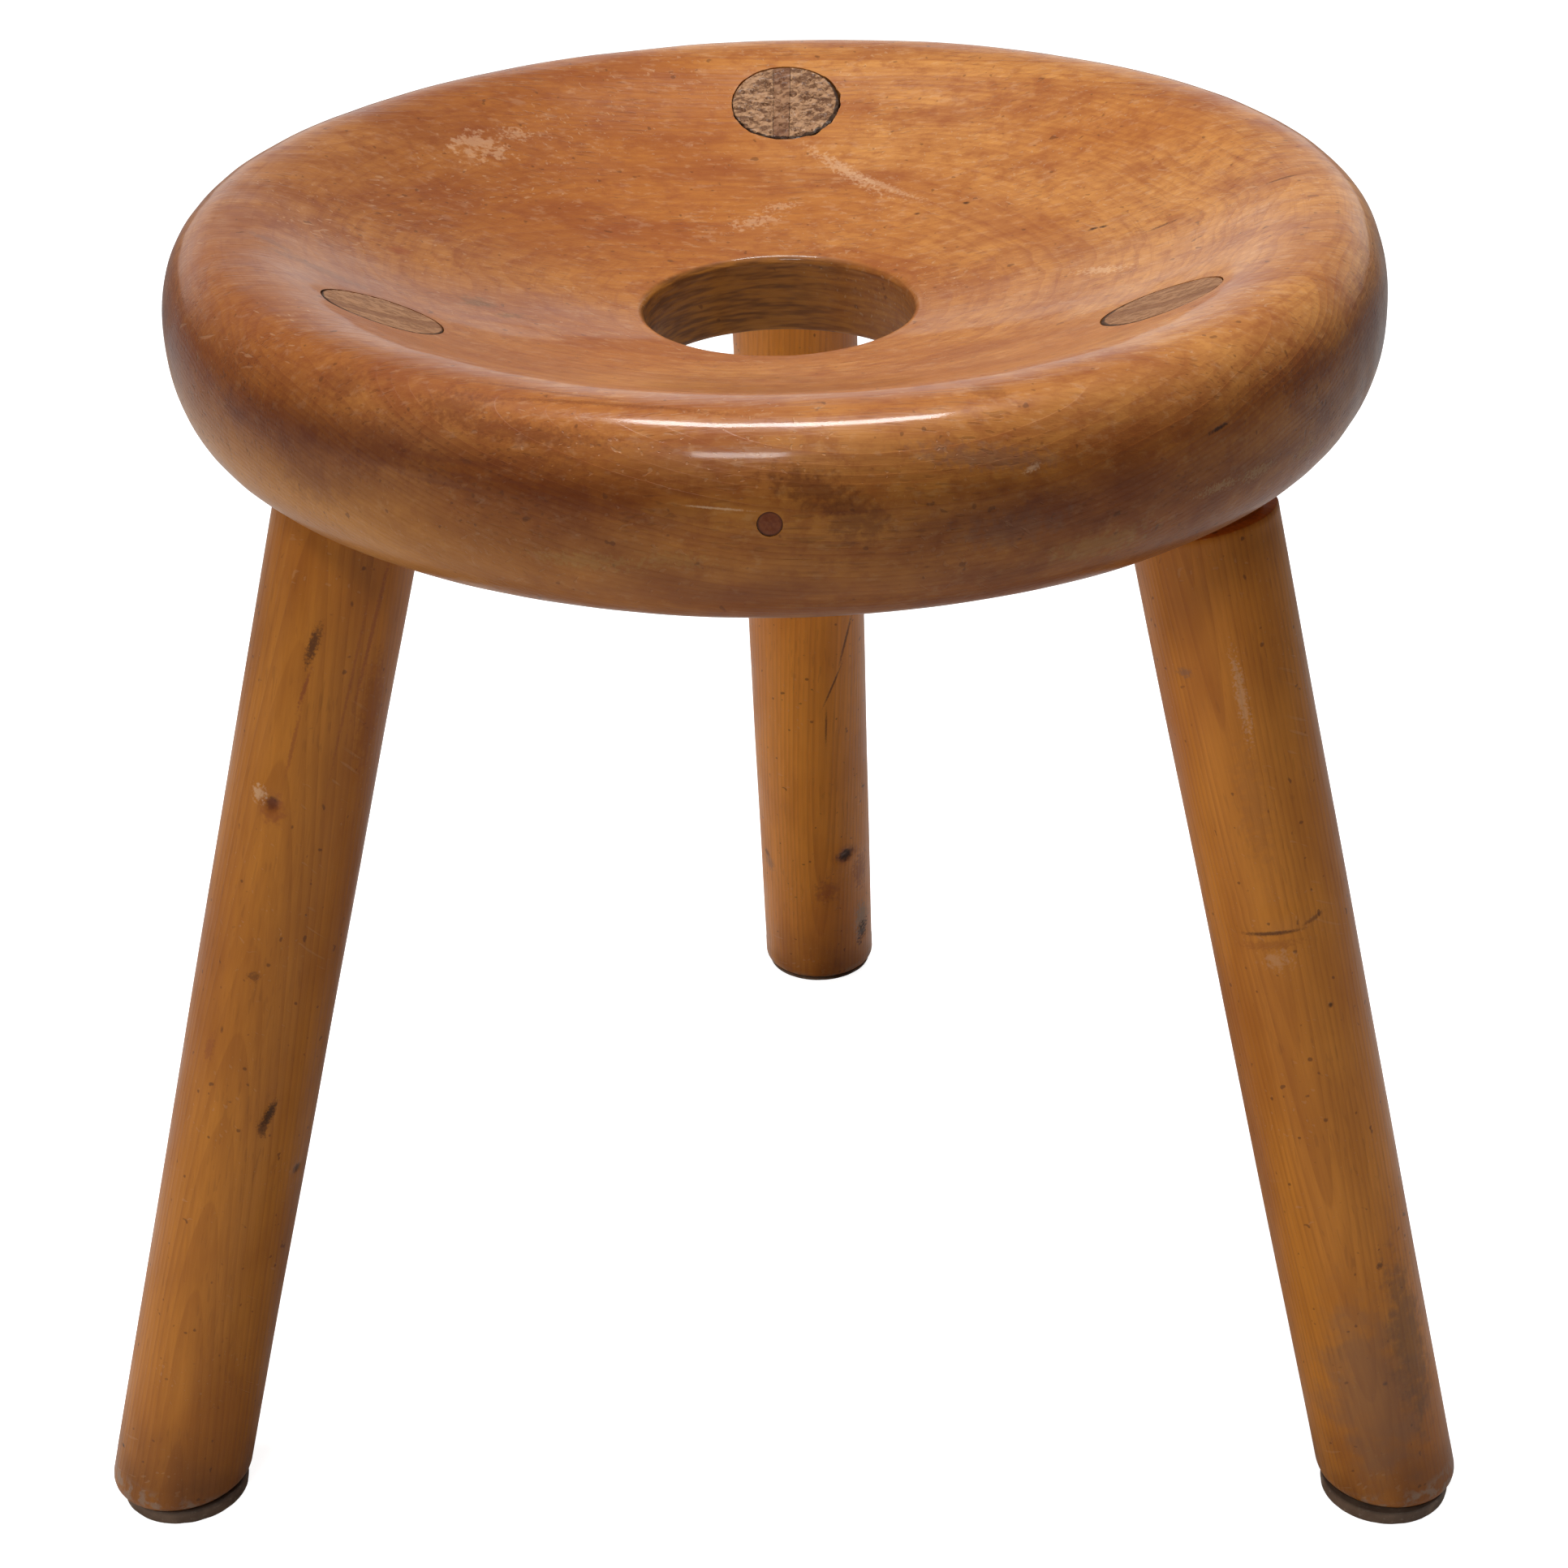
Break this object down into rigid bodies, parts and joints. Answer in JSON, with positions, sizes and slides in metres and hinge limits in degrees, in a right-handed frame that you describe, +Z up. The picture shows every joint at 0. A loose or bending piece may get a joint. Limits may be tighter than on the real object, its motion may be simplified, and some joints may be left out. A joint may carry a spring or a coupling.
{
  "type": "wooden milking stool",
  "caption": "Low wooden milking stool with a dished round seat, a central hand hole and splayed round legs whose wedged tenons show on top.",
  "frame": {"origin": "on the floor, under the middle of the stool's outline seen from above", "axes": "+Z up; the rear leg is on the +Y side, the two front legs are on the -Y side, +X to the right seen from the front"},
  "size_m": [0.4385, 0.423, 0.4044],
  "materials": {
    "seat_wood": "worn satin varnish over honey-brown fine-grained wood",
    "leg_wood": "worn satin varnish over brown fine-grained wood",
    "wedge_wood": "grey-brown sanded end grain",
    "pad_rubber": "matte, scuffed",
    "plug_wood": "dark, dull"
  },
  "bodies": {
    "root": {"seat": "seat_wood", "leg_rear": "leg_wood", "leg_left": "leg_wood", "leg_right": "leg_wood", "wedge_rear": "wedge_wood", "wedge_left": "wedge_wood", "wedge_right": "wedge_wood", "foot_pad_rear": "pad_rubber", "foot_pad_left": "pad_rubber", "foot_pad_right": "pad_rubber", "rim_plug": "plug_wood"}
  },
  "joints": []
}
